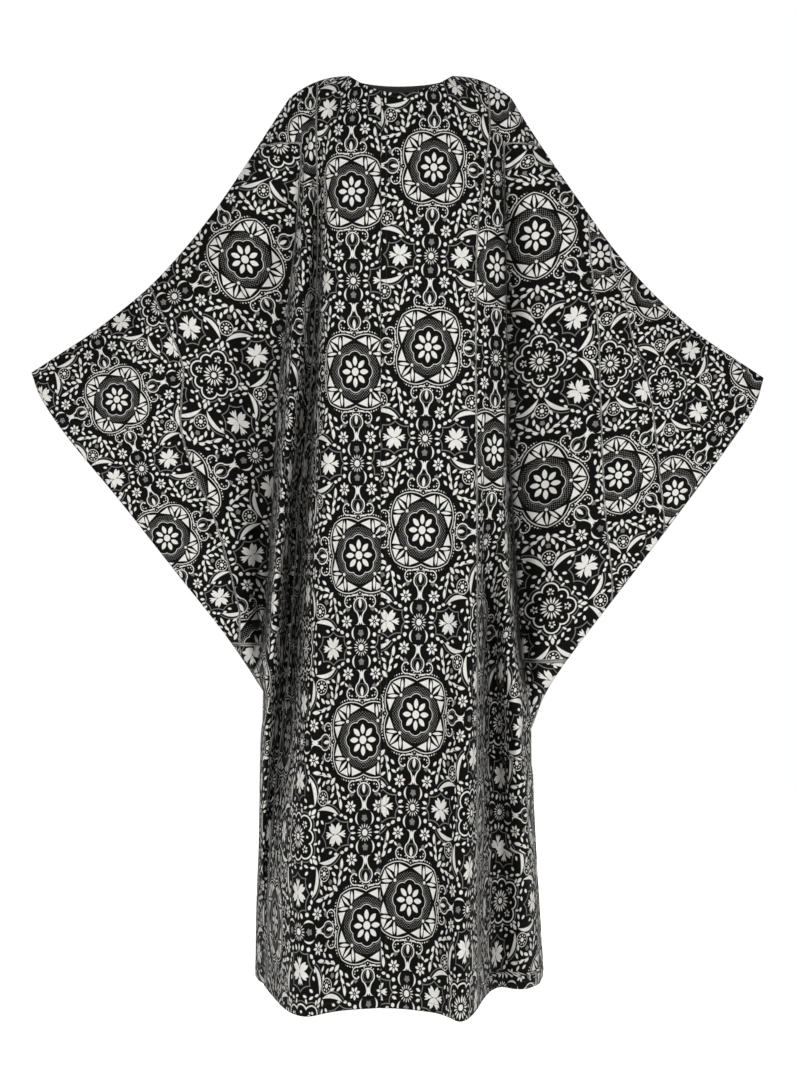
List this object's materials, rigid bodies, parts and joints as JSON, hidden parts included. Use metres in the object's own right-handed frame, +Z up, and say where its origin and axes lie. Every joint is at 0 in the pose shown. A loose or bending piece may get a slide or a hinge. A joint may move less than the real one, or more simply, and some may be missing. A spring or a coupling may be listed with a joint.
{
  "type": "abaya",
  "caption": "Full-length butterfly abaya in printed cloth, worn and hollow, with lapped fronts, wings open at the cuffs and deep folds at the sides.",
  "frame": {"origin": "level with the top of the shoulders, midway between the two sides of the neck", "axes": "+Z up, -Y is the wearer's front, +X is the wearer's left"},
  "size_m": [1.1414, 0.4543, 1.4157],
  "materials": {
    "printed_cloth": "matt woven cloth, black with an off-white print",
    "plain_cloth": "matt plain cloth, charcoal"
  },
  "bodies": {
    "root": {"front_left": "printed_cloth", "front_right": "printed_cloth", "back": "printed_cloth", "back_neck_facing": "plain_cloth"}
  },
  "joints": []
}
